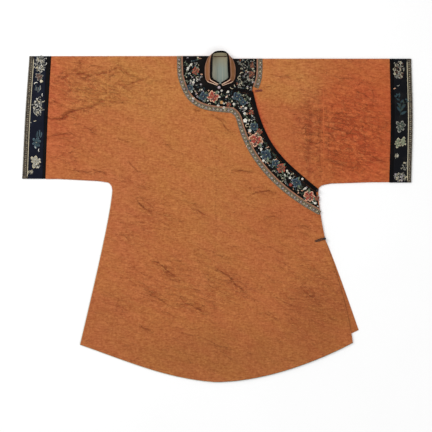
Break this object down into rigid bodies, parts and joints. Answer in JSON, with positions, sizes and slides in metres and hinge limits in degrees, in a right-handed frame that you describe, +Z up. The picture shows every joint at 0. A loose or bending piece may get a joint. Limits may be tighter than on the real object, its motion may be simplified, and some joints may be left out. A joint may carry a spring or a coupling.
{
  "type": "chinese silk robe laid flat",
  "caption": "Wide-sleeved side-closing silk robe laid flat, with a standing collar, embroidered neck border, banded cuffs, ball button, cord loops and an open side vent",
  "frame": {"origin": "on the surface the robe lies on, below the middle of its outline", "axes": "X runs along the sleeves, Y from the hem to the neck, Z up through the cloth"},
  "size_m": [1.327, 1.1216, 0.0261],
  "materials": {
    "silk": "shot orange and ochre silk, soft sheen",
    "black_satin": "black satin, embroidered",
    "navy_satin": "navy satin, embroidered",
    "silver_ribbon": "silver-grey woven ribbon",
    "dark_ribbon": "dark woven ribbon with a cream line",
    "pink_piping": "pale pink silk piping",
    "lining": "pale blue-green silk lining",
    "black_cord": "black knotted cord",
    "red_cord": "dark red cord",
    "pearl": "pinkish-white glossy ball button"
  },
  "bodies": {
    "root": {"back": "silk", "front_outer": "silk", "front_inner": "silk", "sleeve_left": "silk", "sleeve_right": "silk", "collar": "silk", "cuff_left_binding": "black_satin", "cuff_left_band": "navy_satin", "cuff_left_ribbon": "dark_ribbon", "cuff_right_binding": "black_satin", "cuff_right_band": "navy_satin", "cuff_right_ribbon": "dark_ribbon", "border_ribbon": "silver_ribbon", "border_piping": "pink_piping", "border_binding": "black_satin", "border_satin": "black_satin", "yoke_inner_ribbon": "silver_ribbon", "yoke_inner_piping": "pink_piping", "yoke_inner_satin": "black_satin", "neck_lining": "lining", "collar_binding": "black_satin", "collar_piping_foot": "pink_piping", "collar_piping_rim": "pink_piping", "throat_loop": "black_cord", "throat_button": "pearl", "corner_loop": "red_cord", "underarm_knot": "black_cord", "side_loop": "black_cord"}
  },
  "joints": []
}
